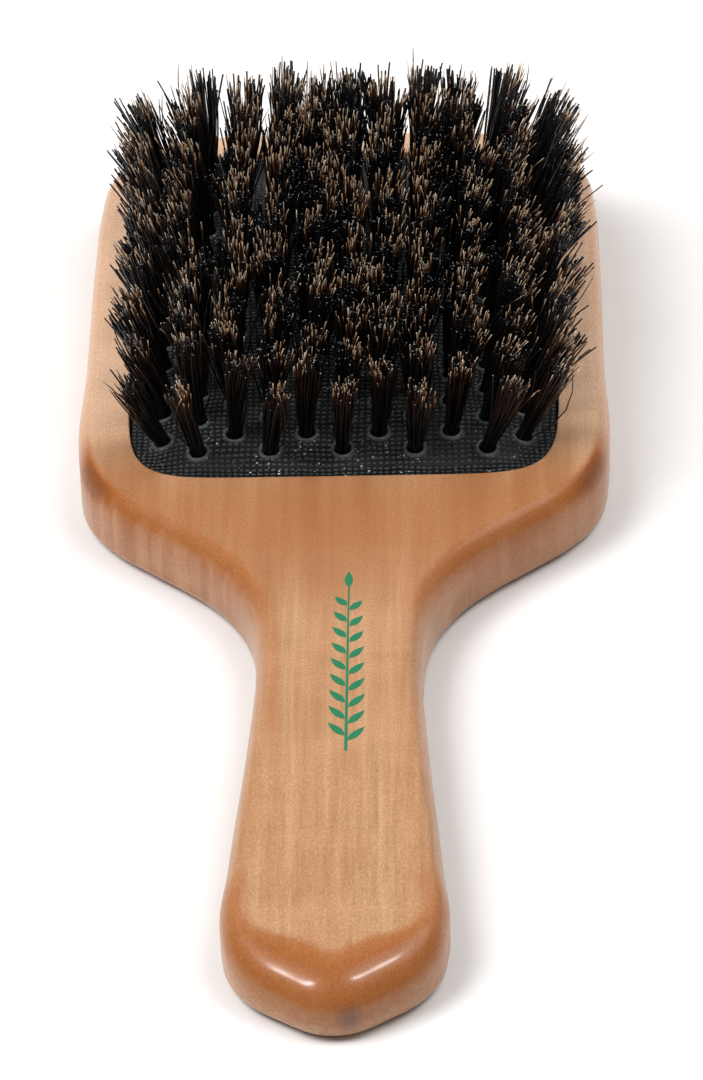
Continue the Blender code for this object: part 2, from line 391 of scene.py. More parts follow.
class Shading:
    """A material's node tree, with one short call for each node kind used here."""

    def __init__(self, name):
        self.material = bpy.data.materials.new(name)
        self.material.use_nodes = True
        self.tree = self.material.node_tree
        self.surface = self.tree.nodes["Principled BSDF"]

    def connect(self, value, socket):
        if isinstance(value, bpy.types.NodeSocket):
            self.tree.links.new(value, socket)
        else:
            socket.default_value = value

    def node(self, kind, inputs=(), **settings):
        node = self.tree.nodes.new(kind)
        for key, value in settings.items():
            setattr(node, key, value)
        for key, value in dict(inputs).items():
            self.connect(value, node.inputs[key])
        return node

    def millimetres(self):
        """Object coordinates in millimetres."""
        place = self.node("ShaderNodeTexCoord").outputs["Object"]
        return self.stretched(place, 1.0 / MM, 1.0 / MM, 1.0 / MM)

    def stretched(self, vector, x, y, z):
        mapping = self.node("ShaderNodeMapping", {"Vector": vector, "Scale": (x, y, z)})
        return mapping.outputs["Vector"]

    def noise(self, vector, scale=1.0, detail=3.0, roughness=0.5, distortion=0.0):
        inputs = {"Vector": vector, "Scale": scale, "Detail": detail,
                  "Roughness": roughness, "Distortion": distortion}
        return self.node("ShaderNodeTexNoise", inputs).outputs["Fac"]

    def math(self, operation, first, second=0.0, clamp=False):
        node = self.node("ShaderNodeMath", {0: first, 1: second},
                         operation=operation, use_clamp=clamp)
        return node.outputs["Value"]

    def remap(self, value, low, high, to_low=0.0, to_high=1.0):
        """Straight ramp between two values, held level beyond them."""
        inputs = {"Value": value, "From Min": low, "From Max": high,
                  "To Min": to_low, "To Max": to_high}
        return self.node("ShaderNodeMapRange", inputs).outputs["Result"]

    def mix(self, factor, first, second, blend="MIX"):
        node = self.node("ShaderNodeMix", {"Factor": factor},
                         data_type="RGBA", blend_type=blend)
        self.connect(first, node.inputs[MIX_COLOUR_A])
        self.connect(second, node.inputs[MIX_COLOUR_B])
        return node.outputs[MIX_COLOUR_RESULT]

    def between(self, factor, colours):
        """Mix of a dark and a pale sRGB colour."""
        dark, pale = colours
        return self.mix(factor, srgb(dark), srgb(pale))

    def axis(self, vector, name):
        return self.node("ShaderNodeSeparateXYZ", {"Vector": vector}).outputs[name]

    def ribs(self, distance, wobble, pitch):
        """Rounded ribs every pitch millimetres, 0 in the grooves and 1 on the crests."""
        shifted = self.math("ADD", distance, wobble)
        wave = self.math("SINE", self.math("MULTIPLY", shifted, math.pi / pitch))
        return self.math("ABSOLUTE", wave)

    def dots(self, vector, spacing, radius):
        """Round specks scattered about spacing millimetres apart."""
        inputs = {"Vector": vector, "Scale": 1.0 / spacing}
        distance = self.node("ShaderNodeTexVoronoi", inputs).outputs["Distance"]
        return self.remap(distance, radius / spacing, 0.6 * radius / spacing)

    def spot(self, vector, centre, reach):
        """One soft round spot about a point, 1 in its middle and 0 past its reach."""
        inputs = {0: vector, 1: centre}
        node = self.node("ShaderNodeVectorMath", inputs, operation="DISTANCE")
        return self.remap(node.outputs["Value"], reach, 0.2 * reach)

    def attribute(self, name):
        return self.node("ShaderNodeAttribute", attribute_name=name).outputs["Fac"]

    def bump(self, height, distance, strength):
        inputs = {"Height": height, "Distance": distance, "Strength": strength}
        return self.node("ShaderNodeBump", inputs).outputs["Normal"]

    def finish(self, **sockets):
        for key, value in sockets.items():
            self.connect(value, self.surface.inputs[key.replace("_", " ")])
        return self.material


def bare_wood(shading, place, streaks, bands):
    """Colour of the grain: fine streaks, broad bands and figure, paler over the head."""
    figure = shading.noise(shading.stretched(place, 0.05, 0.11, 0.05), detail=2.0, distortion=0.6)
    over_head = shading.remap(shading.axis(place, "Y"), HEAD_PALE_FROM_Y, HEAD_PALE_TO_Y, 0.0, 0.7)
    tone = shading.between(shading.remap(streaks, 0.3, 0.7), (STREAK_DARK, STREAK_PALE))
    tone = shading.mix(shading.remap(bands, 0.35, 0.65, 0.0, 0.45), tone, srgb(BAND_BROWN))
    tone = shading.mix(shading.remap(figure, 0.4, 0.7, 0.0, 0.35), tone, srgb(FIGURE_PALE))
    return shading.mix(over_head, tone, srgb(HEAD_PALE))


def brown_neck(shading, place, bands, tone):
    """The tone made browner about the neck, with darker bands in its middle."""
    from_neck = shading.math("SUBTRACT", shading.axis(place, "Y"), NECK_Y)
    from_neck = shading.math("ABSOLUTE", from_neck)
    brown = shading.remap(from_neck, NECK_BROWN_WITHIN, NECK_REACH, 0.7, 0.0)
    tone = shading.mix(brown, tone, srgb(NECK_BROWN))
    banded = shading.math("MULTIPLY", shading.remap(bands, 0.42, 0.6, 0.0, 0.5),
                          shading.remap(from_neck, NECK_BAND_WITHIN, NECK_REACH, 1.0, 0.0))
    return shading.mix(banded, tone, srgb(NECK_BAND))


def stained_and_shaded_edges(shading, tone):
    """The tone with the stain on the edge rolls, deeper where it is strongest; at the corners beside
    the neck the deep stain is partly painted shade.
    """
    roll = shading.attribute("roll")
    tone = shading.mix(shading.math("MULTIPLY", roll, 0.92), tone, srgb(STAIN_ORANGE))
    return shading.mix(shading.remap(roll, 0.95, 1.3, 0.0, 0.55), tone, srgb(STAIN_DEEP_AND_SHADE))


def sheen_flamed_sides(shading, place, tone):
    """The tone with the pale upright figure on the sides of the head, partly a painted sheen."""
    sheen_flame = shading.noise(shading.stretched(place, 0.34, 0.34, 0.02), detail=1.0, distortion=0.8)
    on_side = shading.remap(shading.axis(place, "Z"), SHEEN_FLAME_FROM_Z, SHEEN_FLAME_FULL_Z)
    on_head = shading.remap(shading.axis(place, "Y"), SHEEN_FLAME_FROM_Y, SHEEN_FLAME_FULL_Y)
    # Stronger on the left, where the pale figure is also a painted sheen
    strength = shading.remap(shading.axis(place, "X"), SHEEN_FLAME_LEFT_X, SHEEN_FLAME_RIGHT_X,
                             SHEEN_FLAME_LEFT, SHEEN_FLAME_RIGHT)
    sheen_flame = shading.math("MULTIPLY", shading.remap(sheen_flame, 0.40, 0.68), on_side)
    sheen_flame = shading.math("MULTIPLY", sheen_flame, on_head)
    return shading.mix(shading.math("MULTIPLY", sheen_flame, strength), tone, srgb(SHEEN_FLAME_PALE))


def wood_material():
    """Pale straight-grained hardwood under a clear satin lacquer, stained darker at the edges."""
    shading = Shading("lacquered_wood")
    place = shading.millimetres()
    streaks = shading.noise(shading.stretched(place, 0.85, 0.028, 0.85), detail=5.0, roughness=0.62)
    bands = shading.noise(shading.stretched(place, 0.16, 0.012, 0.16), detail=2.0, distortion=0.4)
    speckle = shading.noise(shading.stretched(place, 3.6, 2.1, 3.6), detail=2.0, roughness=0.7)
    tone = bare_wood(shading, place, streaks, bands)
    tone = brown_neck(shading, place, bands, tone)
    tone = stained_and_shaded_edges(shading, tone)
    tone = sheen_flamed_sides(shading, place, tone)
    pores = shading.remap(speckle, 0.36, 0.62, 0.0, 0.75)
    tone = shading.mix(pores, tone, srgb(PORE_TINT), blend="MULTIPLY")
    mark = shading.math("MULTIPLY", shading.spot(place, END_MARK, END_MARK_REACH), 0.6)
    tone = shading.mix(mark, tone, srgb(MARK_GREY))
    tone = shading.mix(shading.attribute("print"), tone, srgb(PRINT_GREEN))
    grain = shading.math("ADD", streaks, shading.math("MULTIPLY", speckle, 0.6))
    normal = shading.bump(grain, 0.03 * MM, 0.6)
    lacquer = shading.remap(shading.axis(place, "Z"), LACQUER_LOW_Z, LACQUER_HIGH_Z,
                            LACQUER_LOW, LACQUER_HIGH)
    return shading.finish(Base_Color=tone, Roughness=0.42, Normal=normal,
                          Specular_IOR_Level=0.22, Coat_Weight=lacquer, Coat_Roughness=0.17,
                          Coat_IOR=1.5)


def dust_on_rubber(shading, place, wear):
    """Amount of pale dust: fine specks everywhere, and lint where the rubber is worn."""
    dust = shading.noise(place, scale=1.6, detail=3.0, roughness=0.7)
    dusty = shading.remap(shading.axis(place, "Y"), DUST_FROM_Y, DUST_TO_Y, 0.85, 0.4)
    specks = shading.math("MULTIPLY", shading.remap(dust, 0.68, 0.73), dusty)
    lint = shading.math("MULTIPLY", shading.dots(place, spacing=1.4, radius=0.22), dusty)
    lint = shading.math("MULTIPLY", lint, shading.remap(wear, 0.48, 0.56))
    return shading.math("MAXIMUM", specks, lint)


def rubber_material():
    """Black rubber with a cloth imprint of short raised dashes, each with a painted highlight, and
    painted shade in the grooves between them.
    """
    shading = Shading("black_rubber")
    place = shading.millimetres()
    wobble = shading.noise(place, scale=0.22, detail=2.0)
    across = shading.ribs(shading.attribute("across"), wobble, WEAVE_ACROSS)
    along = shading.ribs(shading.attribute("along"), wobble, WEAVE_ALONG)
    dash = shading.math("MULTIPLY", shading.remap(across, 0.30, 0.75),
                        shading.remap(along, 0.6, 0.97))
    wear = shading.noise(place, scale=0.09, detail=3.0)
    rim = shading.attribute("rim")
    # Painted highlight on the raised dashes, broken up by wear; painted shade in the grooves
    worn_dash_highlight = shading.math("MULTIPLY", dash, shading.remap(wear, 0.3, 0.7, 0.35, 1.0))
    tone = shading.between(worn_dash_highlight, (RUBBER_GROOVE_SHADE, RUBBER_DASH_HIGHLIGHT))
    # Painted highlight on the moulded rim around each tuft
    tone = shading.mix(shading.math("MULTIPLY", rim, 0.6), tone, srgb(RUBBER_RIM_HIGHLIGHT))
    # Painted shade in the sunk hole under each tuft
    tone = shading.mix(shading.attribute("hole"), tone, srgb(RUBBER_HOLE_SHADE))
    tone = shading.mix(dust_on_rubber(shading, place, wear), tone, srgb(DUST_PALE))
    height = shading.math("MULTIPLY", dash, shading.math("SUBTRACT", 1.0, rim, clamp=True))
    normal = shading.bump(height, 0.18 * MM, 1.0)
    return shading.finish(Base_Color=tone, Roughness=0.5, Specular_IOR_Level=0.35, Normal=normal)


def bristle_material():
    """Black and brown bristles; the brown ones bleach to tan at the tip, with a painted highlight, and
    the cut ends carry a painted glint.
    """
    shading = Shading("dark_bristle")
    along = shading.attribute("along")
    tint = shading.attribute("tint")
    brown = shading.mix(shading.remap(along, 0.80, 0.94), shading.between(tint, BRISTLE_ROOT),
                        shading.between(tint, BRISTLE_MIDDLE))
    # Tan tips, the palest pushed towards white as a painted highlight
    brown = shading.mix(shading.remap(along, 0.92, 1.0), brown, shading.between(tint, BRISTLE_TIP_AND_HIGHLIGHT))
    tone = shading.mix(shading.attribute("tan"), shading.between(tint, BRISTLE_BLACK), brown)
    # Painted glint on the cut ends
    glint = shading.between(shading.math("POWER", tint, 3.0), BRISTLE_CUT_GLINT)
    tone = shading.mix(shading.attribute("cut"), tone, glint)
    return shading.finish(Base_Color=tone, Roughness=0.32)


def floor_material():
    shading = Shading("studio_floor")
    return shading.finish(Base_Color=srgb(FLOOR_WHITE), Roughness=0.9)


# -------------------------------------------------------------------- wooden body
def outline_polyline():
    """Evenly spaced points of the board's outline."""
    curve = bpy.data.curves.new("outline", "CURVE")
    curve.dimensions = "2D"
    curve.fill_mode = "NONE"
    curve.resolution_u = OUTLINE_RESOLUTION
    left_half = [(-x, y) for x, y in reversed(HALF_OUTLINE[1:-1])]
    points = list(HALF_OUTLINE) + left_half
    spline = curve.splines.new("BEZIER")
    spline.bezier_points.add(len(points) - 1)
    for knot, (x, y) in zip(spline.bezier_points, points):
        knot.co = (x, y, 0.0)
        knot.handle_left_type = "AUTO"
        knot.handle_right_type = "AUTO"
    spline.use_cyclic_u = True
    source = link(bpy.data.objects.new("outline", curve))
    bpy.context.view_layer.update()
    mesh = source.evaluated_get(bpy.context.evaluated_depsgraph_get()).to_mesh()
    raw = np.array([vertex.co[:2] for vertex in mesh.vertices])
    bpy.data.objects.remove(source)
    closed = np.vstack([raw, raw[:1]])
    travelled = np.concatenate([[0.0], np.cumsum(np.linalg.norm(np.diff(closed, axis=0), axis=1))])
    count = int(travelled[-1] / OUTLINE_SPACING)
    stops = np.arange(count) * travelled[-1] / count
    return np.column_stack([np.interp(stops, travelled, closed[:, axis]) for axis in (0, 1)])


def inward_normals(points):
    tangent = np.roll(points, -1, axis=0) - np.roll(points, 1, axis=0)
    tangent /= np.linalg.norm(tangent, axis=1, keepdims=True)
    normal = np.column_stack([-tangent[:, 1], tangent[:, 0]])
    at_far_end = (points * normal)[np.argmax(points[:, 1])]
    return normal if at_far_end.sum() < 0.0 else -normal


def blurred(values, reach):
    """Values around the outline, averaged over a few neighbours on either side."""
    total = sum(np.roll(values, shift) for shift in range(-reach, reach + 1))
    return total / (2 * reach + 1)


def edge_sizes(points, normals):
    """Inset and depth of the top roll, its crease angle and the bottom roll, per outline point."""
    table = np.array(EDGE_KNOTS)
    inset, depth, crease, foot = (
        np.interp(points[:, 1], table[:, 0], table[:, column]) for column in (1, 2, 3, 4)
    )
    at_end = (smoothstep(END_FROM_Y, END_TO_Y, points[:, 1])
              * smoothstep(END_FACING_FROM, END_FACING_TO, normals[:, 1]))
    inset = blurred(inset + (END_INSET - inset) * at_end, SIZE_BLUR)
    depth = blurred(depth + (END_DEPTH - depth) * at_end, SIZE_BLUR)
    return inset, depth, np.radians(blurred(crease, CREASE_BLUR)), foot


def outline_stain_and_shade(points, normals):
    """Strength of the stain around the outline: strongest where it faces the handle's end; along the
    sides and at the corners beside the neck it is partly painted shade.
    """
    near_end = smoothstep(END_SIDE_FROM_Y, END_SIDE_TO_Y, points[:, 1])
    faced = SHOULDER_STAIN + (END_STAIN - SHOULDER_STAIN) * near_end
    facing = SIDE_STAIN_AND_SHADE + (faced - SIDE_STAIN_AND_SHADE) * smoothstep(0.0, FACING_FULL, normals[:, 1])
    end_side = END_SIDE_STAIN * near_end
    # At the corners beside the neck the stain is deepened as painted shade
    corner = (CORNER_STAIN_AND_SHADE * smoothstep(CORNER_FROM_X, CORNER_TO_X, np.abs(points[:, 0]))
              * smoothstep(CORNER_FROM_Y, CORNER_TO_Y, points[:, 1]))
    return blurred(np.maximum(np.maximum(facing, corner), end_side), STAIN_BLUR)


def top_height(points):
    """Height of the top face over each outline point."""
    share = (FALL_FROM_Y - points[:, 1]) / (FALL_FROM_Y - FALL_TO_Y)
    return WOOD_THICKNESS - FALL_DEPTH * np.clip(share, 0.0, FALL_SHARE_LIMIT) ** 2


def roll_stain(share, soft):
    """Stain at a share of the way up the top roll; soft is 1 where there is no crease."""
    crisp_stain = float(np.interp(share, STAIN_SHARES, STAIN_AMOUNTS))
    soft_stain = float(np.interp(share, STAIN_SHARES, SOFT_STAIN_AMOUNTS))
    return crisp_stain + (soft_stain - crisp_stain) * soft


def board_rings(points, normals):
    """(inset, z, stain) arrays of each ring of the board, from its back to its top."""
    inset, depth, crease, foot = edge_sizes(points, normals)
    stained = outline_stain_and_shade(points, normals)
    none = np.zeros(len(points))
    rings = [(foot + FLAT_MARGIN, none, none)]
    # The bottom roll and the sides carry stain that is partly painted shade
    for step in range(ROLL_STEPS + 1):
        angle = math.pi / 2 * step / ROLL_STEPS
        rings.append((foot * (1 - math.sin(angle)), foot * (1 - math.cos(angle)),
                      stained * STAIN_AND_SHADE_AT_FOOT))
    top = top_height(points + normals * inset[:, None])
    top_of_side = top - depth
    # Stain on the sides, rising towards the top roll, is partly painted shade
    for step in range(1, SIDE_STEPS):
        share = step / SIDE_STEPS
        stain = stained * (STAIN_AND_SHADE_AT_FOOT + (STAIN_AMOUNTS[0] - STAIN_AND_SHADE_AT_FOOT) * share)
        rings.append((none, foot + (top_of_side - foot) * share, stain))
    soft = 1.0 - np.clip(crease / SOFT_BELOW_CREASE, 0.0, 1.0)
    for step in range(ROLL_STEPS + 1):
        share = step / ROLL_STEPS
        angle = math.pi / 2 + (crease - math.pi / 2) * share
        inward = (1 - np.sin(angle)) / (1 - np.sin(crease))
        upward = np.cos(angle) / np.cos(crease)
        stain = stained * roll_stain(share, soft)
        rings.append((inset * inward, top_of_side + depth * upward, stain))
    rings.append((inset + FLAT_MARGIN, top, stained * soft * SOFT_STAIN_AMOUNTS[-1]))
    faded = inset + SOFT_FADE
    rings.append((faded, top_height(points + normals * faded[:, None]), none))
    return rings


def corner_scale(x, y):
    """Length of (x, y) in the norm that draws the rounded rectangle."""
    return (np.abs(x) ** CORNER_POWER + np.abs(y) ** CORNER_POWER) ** (1.0 / CORNER_POWER)


def rounded_ring(half_width, half_length):
    """Points of the rounded rectangle around the pad centre, evenly spread on each side."""
    across, down = RECESS_RING_CELLS
    steps_x = np.linspace(-1.0, 1.0, across + 1)
    steps_y = np.linspace(-1.0, 1.0, down + 1)
    square = [(value, -1.0) for value in steps_x[:-1]]
    square += [(1.0, value) for value in steps_y[:-1]]
    square += [(value, 1.0) for value in steps_x[:0:-1]]
    square += [(-1.0, value) for value in steps_y[:0:-1]]
    square = np.array(square)
    square /= corner_scale(square[:, 0], square[:, 1])[:, None]
    return square * (half_width, half_length) + (0.0, RECESS_CENTRE_Y)


def recess_rings():
    """Points of each ring of the recess, from the top face to its floor."""
    profile = [
        (RECESS_LIP * (1 - math.sin(angle)), WOOD_THICKNESS - RECESS_LIP * (1 - math.cos(angle)))
        for angle in np.linspace(0.0, math.pi / 2, RECESS_LIP_POINTS)
    ]
    profile += [(0.0, GROOVE_TOP_Z), (GROOVE_DEPTH, GROOVE_TOP_Z), (GROOVE_DEPTH, GROOVE_BOTTOM_Z),
                (0.0, GROOVE_BOTTOM_Z), (0.0, RECESS_FLOOR_Z)]
    rings = []
    for outward, z in profile:
        ring = rounded_ring(RECESS_HALF_WIDTH + outward, RECESS_HALF_LENGTH + outward)
        rings.append(np.column_stack([ring, np.full(len(ring), z)]))
    return rings


def leaf_outline(x, y, angle, length):
    """Closed outline of one pointed leaf that starts at (x, y); the angle is from +Y."""
    shares = np.linspace(0.0, 1.0, LEAF_POINTS)
    half = LEAF_WIDTH / 2 * np.sin(math.pi * shares ** LEAF_BELLY_POWER)
    along = np.concatenate([shares, shares[-2:0:-1]]) * length
    aside = np.concatenate([half, -half[-2:0:-1]])
    turned_x = along * math.sin(angle) + aside * math.cos(angle)
    turned_y = along * math.cos(angle) - aside * math.sin(angle)
    return np.column_stack([x + turned_x, y + turned_y])


def sprig_outlines():
    """Outlines of the printed sprig: its stem, the pairs of leaves and the leaf at its tip."""
    half = SPRIG_STEM_WIDTH / 2
    outlines = [np.array([(SPRIG_X - half, SPRIG_FROM_Y), (SPRIG_X + half, SPRIG_FROM_Y),
                          (SPRIG_X + half / 2, SPRIG_TO_Y), (SPRIG_X - half / 2, SPRIG_TO_Y)])]
    for pair in range(SPRIG_PAIRS):
        share = (pair + SPRIG_FIRST_PAIR) / SPRIG_PAIRS
        y = SPRIG_FROM_Y + (SPRIG_TO_Y - SPRIG_FROM_Y - LEAF_LENGTH) * share
        length = LEAF_LENGTH * (1.0 - LEAF_SHORTENING * share ** 2)
        outlines.append(leaf_outline(SPRIG_X + half, y, LEAF_ANGLE, length))
        outlines.append(leaf_outline(SPRIG_X - half, y + LEAF_STAGGER, -LEAF_ANGLE, length))
    outlines.append(leaf_outline(SPRIG_X, SPRIG_TO_Y + TOP_LEAF_GAP, 0.0, LEAF_LENGTH))
    return outlines


def add_print(vertices, faces, outline):
    """Append one thin printed shape, sunk into the top face."""
    first = len(vertices)
    count = len(outline)
    for z in (WOOD_THICKNESS - PRINT_BURIED, WOOD_THICKNESS + PRINT_TOP):
        vertices += [(x, y, z) for x, y in outline.tolist()]
    faces += ring_faces(first, first + count, count)
    faces.append(tuple(range(first, first + count)))
    faces.append(tuple(range(first + count, first + 2 * count)))


def fill_caps(mesh, caps):
    """Close the flat faces: each cap is one ring, or two, as (first vertex, vertex count)."""
    shape = bmesh.new()
    shape.from_mesh(mesh)
    shape.verts.ensure_lookup_table()
    for cap in caps:
        edges = []
        for start, count in cap:
            for index in range(count):
                pair = (shape.verts[start + index], shape.verts[start + (index + 1) % count])
                edges.append(shape.edges.get(pair) or shape.edges.new(pair))
        bmesh.ops.triangle_fill(shape, edges=edges, use_beauty=True)
        shape.verts.ensure_lookup_table()
    bmesh.ops.recalc_face_normals(shape, faces=shape.faces)
    shape.to_mesh(mesh)
    shape.free()
    mesh.set_sharp_from_angle(angle=SHARP_FROM)


def build_wooden_body(material):
    points = outline_polyline()
    normals = inward_normals(points)
    board = board_rings(points, normals)
    outside = [np.column_stack([points + normals * inset[:, None], z]) for inset, z, _ in board]
    recess = recess_rings()
    vertices, faces = [], []
    board_starts = stack_rings(outside, vertices, faces)
    stain = np.concatenate([ring_stain_and_shade for _, _, ring_stain_and_shade in board])
    recess_starts = stack_rings(recess, vertices, faces)
    unprinted = len(vertices)
    for outline in sprig_outlines():
        add_print(vertices, faces, outline)
    body = mesh_object("wooden_body_looks", vertices, faces, material)
    unstained = np.zeros(len(vertices) - len(stain))
    set_attribute(body.data, "roll", np.concatenate([stain, unstained]))
    set_attribute(body.data, "print", np.arange(len(vertices)) >= unprinted)
    around = len(points)
    inside = len(recess[0])
    back = [(board_starts[0], around)]
    top = [(board_starts[-1], around), (recess_starts[0], inside)]
    recess_floor = [(recess_starts[-1], inside)]
    fill_caps(body.data, (back, top, recess_floor))
    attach(body, "handle")
    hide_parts("wooden_body")


# --------------------------------------------------------------------- rubber pad
def dome_height(x, y):
    level = corner_scale(x / CUSHION_HALF_WIDTH, y / CUSHION_HALF_LENGTH)
    return DOME_HEIGHT * (1.0 - np.minimum(level, 1.0) ** DOME_POWER)


def dome_point(x, y):
    """Point of the pad's face; x and y are from the pad centre."""
    return np.array([x, y + RECESS_CENTRE_Y, CUSHION_EDGE_Z + dome_height(x, y)])


def dome_normal(x, y):
    run = 2.0 * SLOPE_STEP
    slope_x = (dome_height(x + SLOPE_STEP, y) - dome_height(x - SLOPE_STEP, y)) / run
    slope_y = (dome_height(x, y + SLOPE_STEP) - dome_height(x, y - SLOPE_STEP)) / run
    normal = np.array([-slope_x, -slope_y, 1.0])
    return normal / np.linalg.norm(normal)


def tuft_positions(row):
    """Tuft centres of one row, (x, y) from the pad centre; rows are staggered."""
    count = SHORT_ROW_TUFTS if row % 2 == 0 else LONG_ROW_TUFTS
    y = (row - (ROW_COUNT - 1) / 2) * ROW_PITCH
    return [((index - (count - 1) / 2) * TUFT_PITCH, y) for index in range(count)]


def pad_face_points():
    """Grid of points over the domed face, (rows, columns, 3)."""
    across, down = CUSHION_CELLS
    x, y = np.meshgrid(np.linspace(-1.0, 1.0, across + 1), np.linspace(-1.0, 1.0, down + 1))
    reach = np.maximum(np.abs(x), np.abs(y))
    pull = np.where(reach > 0.0, reach / np.maximum(corner_scale(x, y), 1e-9), 0.0)
    x = x * pull * CUSHION_HALF_WIDTH
    y = y * pull * CUSHION_HALF_LENGTH
    level = corner_scale(x / CUSHION_HALF_WIDTH, y / CUSHION_HALF_LENGTH)
    lift = EDGE_LIFT * smoothstep(EDGE_LIFT_FROM, 1.0, level)
    return np.stack([x, y + RECESS_CENTRE_Y, CUSHION_EDGE_Z + dome_height(x, y) + lift], axis=-1)


def surface_distance(grid, axis):
    """Distance over the face from the middle of the grid, along one of its directions."""
    steps = np.linalg.norm(np.diff(grid, axis=axis), axis=-1)
    start = np.zeros_like(np.take(steps, [0], axis=axis))
    travelled = np.concatenate([start, np.cumsum(steps, axis=axis)], axis=axis)
    middle = np.take(travelled, [travelled.shape[axis] // 2], axis=axis)
    return (travelled - middle).reshape(-1)


def raise_rims(points):
    """Raise a moulded rim around each tuft and sink its hole; returns the rim and hole shares."""
    rim = np.zeros(len(points))
    hole = np.zeros(len(points))
    for row in range(ROW_COUNT):
        for x, y in tuft_positions(row):
            centre = dome_point(x, y)
            normal = dome_normal(x, y)
            near = np.flatnonzero(np.abs(points - centre).max(axis=1) < RIM_REACH)
            offset = points[near] - centre
            radius = np.linalg.norm(offset - np.outer(offset @ normal, normal), axis=1)
            bulge = np.exp(-((radius - RIM_RADIUS) / RIM_WIDTH) ** 2)
            sunk = 1.0 - smoothstep(HOLE_RADIUS - HOLE_SOFT_INSIDE,
                                    HOLE_RADIUS + HOLE_SOFT_OUTSIDE, radius)
            points[near] += np.outer(bulge * RIM_HEIGHT - sunk * HOLE_DEPTH, normal)
            rim[near] = np.maximum(rim[near], bulge)
            hole[near] = np.maximum(hole[near], sunk)
    return rim, hole


def grid_faces(rows, columns):
    """Quads of a grid of points, and the point numbers around its border."""
    number = np.arange(rows * columns).reshape(rows, columns)
    quads = np.stack([number[:-1, :-1], number[:-1, 1:], number[1:, 1:], number[1:, :-1]], axis=-1)
    border = np.concatenate([number[0, :-1], number[:-1, -1], number[-1, :0:-1], number[:0:-1, 0]])
    return [tuple(quad) for quad in quads.reshape(-1, 4).tolist()], border.tolist()


def flange_rings(edge):
    """Rings below the pad's border: its seat, then the flange's upper and lower edge."""
    spread = np.array([1.0 + FLANGE_REACH / CUSHION_HALF_WIDTH,
                       1.0 + FLANGE_REACH / CUSHION_HALF_LENGTH])
    wide = (edge[:, :2] - (0.0, RECESS_CENTRE_Y)) * spread + (0.0, RECESS_CENTRE_Y)
    upper = np.column_stack([wide, edge[:, 2]])
    return [edge, upper, upper - (0.0, 0.0, RUBBER_THICKNESS)]


def build_rubber_pad(material):
    grid = pad_face_points()
    imprint = {"across": surface_distance(grid, 1), "along": surface_distance(grid, 0)}
    points = grid.reshape(-1, 3)
    imprint["rim"], imprint["hole"] = raise_rims(points)
    faces, border = grid_faces(*grid.shape[:2])
    count = len(border)
    first = len(points)
    for index in range(count):
        after = (index + 1) % count
        faces.append((border[index], border[after], first + after, first + index))
    vertices = points.tolist()
    flange = flange_rings(points[border] - (0.0, 0.0, EDGE_LIFT))
    starts = stack_rings(flange, vertices, faces)
    faces.append(tuple(range(starts[-1], starts[-1] + count)))
    pad = mesh_object("rubber_pad", vertices, faces, material)
    for name, values in imprint.items():
        set_attribute(pad.data, name, np.concatenate([values, np.zeros(len(flange) * count)]))
    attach(pad, "handle")
    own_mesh(pad)
    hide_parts("rubber_cushion")


# ----------------------------------------------------------------------- bristles
def side_axes(direction):
    """Two unit vectors square to the direction and to each other."""
    first = np.cross(direction, (0.0, 1.0, 0.0))
    first /= np.linalg.norm(first)
    return first, np.cross(direction, first)


def tuft_lean(x, y):
    """Slopes by which a tuft leans beyond the pad's normal, sideways and along the brush."""
    short_of = min(abs(x) - LEAN_OUTWARD_AT, 0.0) / LEAN_OUTWARD_REACH
    outward = LEAN_OUTWARD * math.exp(-short_of ** 2)
    endways = LEAN_TO_HANDLE * min(0.0, y) / CUSHION_HALF_LENGTH
    parting = (PART_LEAN * math.exp(-((x - PART_X) / PART_REACH) ** 2)
               * smoothstep(PART_FROM_Y, PART_TO_Y, y))
    return LEAN_TO_RIGHT + math.copysign(outward, x) - parting, endways


def tuft_axis(x, y, rng):
    """Direction in which one tuft stands."""
    sideways, endways = tuft_lean(x, y)
    lean = (sideways + rng.normal(0.0, LEAN_SPREAD), endways + rng.normal(0.0, LEAN_SPREAD), 0.0)
    axis = dome_normal(x, y) + lean
    return axis / np.linalg.norm(axis)


def tan_shares(angle, rng):
    """1 for each brown bristle and 0 for each black one; the brown ones keep to one side."""
    towards = rng.random() * FULL_TURN
    leaning = np.cos(angle - towards) + rng.normal(0.0, TAN_SIDE_SPREAD, len(angle))
    return (leaning > TAN_SIDE_LIMIT).astype(float)


def tip_offsets(spread, y, rng):
    """Where the bristle tips are, across the tuft; a few stray outwards."""
    fullness = FULL_TIP_GROWTH * smoothstep(FULL_FROM_Y, FULL_TO_Y, y)
    growth = TUFT_TIP_GROWTH * (y / CUSHION_HALF_LENGTH)
    tips = spread * (TUFT_TIP_RADIUS + fullness + growth)
    tips += rng.normal(0.0, TIP_SPREAD, spread.shape)
    tips[rng.random(len(spread)) < STRAY_SHARE] *= STRAY_REACH
    return tips


def bristle_lengths(radial, tan, y, rng):
    count = len(radial)
    length = (TUFT_LENGTH + TUFT_LENGTH_GROWTH * (y / CUSHION_HALF_LENGTH)
              + rng.normal(0.0, LENGTH_SPREAD, count))
    length += tan * rng.normal(TAN_EXTRA_LENGTH, TAN_LENGTH_SPREAD, count)
    length -= OUTER_SHORTENING * radial * rng.random(count)
    return length


def bristle_bends(tan, rng):
    """How far the middle of each bristle bows aside; brown ones bow more."""
    bend = rng.normal(0.0, BEND_SPREAD, (len(tan), 2)) * (1.0 + tan[:, None])
    bend[rng.random(len(tan)) < STRONG_BEND_SHARE] *= STRONG_BEND
    return bend


